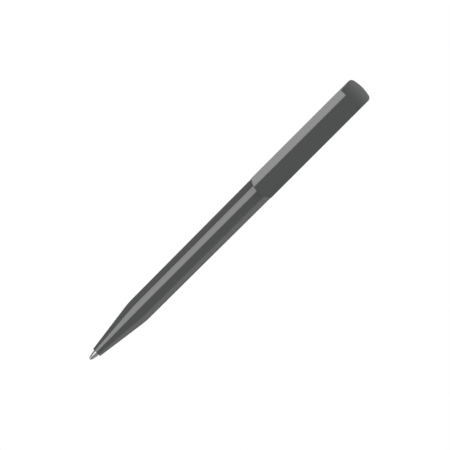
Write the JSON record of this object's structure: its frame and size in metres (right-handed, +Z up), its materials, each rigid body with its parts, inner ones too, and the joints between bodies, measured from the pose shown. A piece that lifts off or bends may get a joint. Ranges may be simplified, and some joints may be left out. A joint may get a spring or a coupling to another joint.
{
  "type": "twist ballpoint pen",
  "caption": "Retractable ballpoint pen with a conical nose and a wide bevelled clip; twisting its upper half draws the point in against a return spring.",
  "frame": {"origin": "under the middle of the pen's box, on the surface it lies on", "axes": "+X along the pen towards its top, -X towards the point, -Y out of the clip's face, +Z up"},
  "size_m": [0.14, 0.013, 0.0102],
  "materials": {
    "anthracite_abs": "moulded, polished",
    "white_acetal": "moulded, matt",
    "nitrile_rubber": "moulded, matt",
    "spring_steel": "drawn wire, bright",
    "nickel_silver": "turned, bright",
    "carbide_ball": "lapped",
    "polypropylene_holder": "moulded",
    "polypropylene_tube": "extruded, milky",
    "blue_ink": "viscous paste",
    "follower_grease": "clear grease"
  },
  "bodies": {
    "barrel": {"barrel": "anthracite_abs", "coupling": "white_acetal", "guide_tube": "white_acetal", "retaining_ring": "spring_steel", "friction_ring": "nitrile_rubber", "return_spring": "spring_steel"},
    "cap": {"cap_tube": "anthracite_abs", "crown": "anthracite_abs", "cam_sleeve": "white_acetal"},
    "clip": {"clip": "anthracite_abs"},
    "refill": {"slider": "white_acetal", "cross_pin": "spring_steel", "refill_tube": "polypropylene_tube", "tip_holder": "polypropylene_holder", "point": "nickel_silver", "ink": "blue_ink", "grease_plug": "follower_grease"},
    "ball": {"writing_ball": "carbide_ball"}
  },
  "joints": [
    {"name": "cap_twist", "type": "hinge", "parent": "barrel", "child": "cap", "pos_m": [0.0181, 0.0014, 0.00509], "axis": [1, 0, 0], "range_deg": [0, 180]},
    {"name": "refill_slide", "type": "slide", "parent": "barrel", "child": "refill", "axis": [1, 0, 0], "range_m": [0, 0.006], "deforming": ["return_spring"]},
    {"name": "clip_flex", "type": "hinge", "parent": "cap", "child": "clip", "pos_m": [0.0637, -0.00649, 0.00509], "axis": [0, 0, 1], "range_deg": [0, 4], "stiffness_Nm_per_rad": 2},
    {"name": "ball_roll", "type": "hinge", "parent": "refill", "child": "ball", "pos_m": [-0.0695, 0.0014, 0.00509], "axis": [0, 1, 0], "continuous": true}
  ],
  "couplings": [
    {"joint": "refill_slide", "follows": "cap_twist", "m_per_rad": 0.0019099}
  ]
}
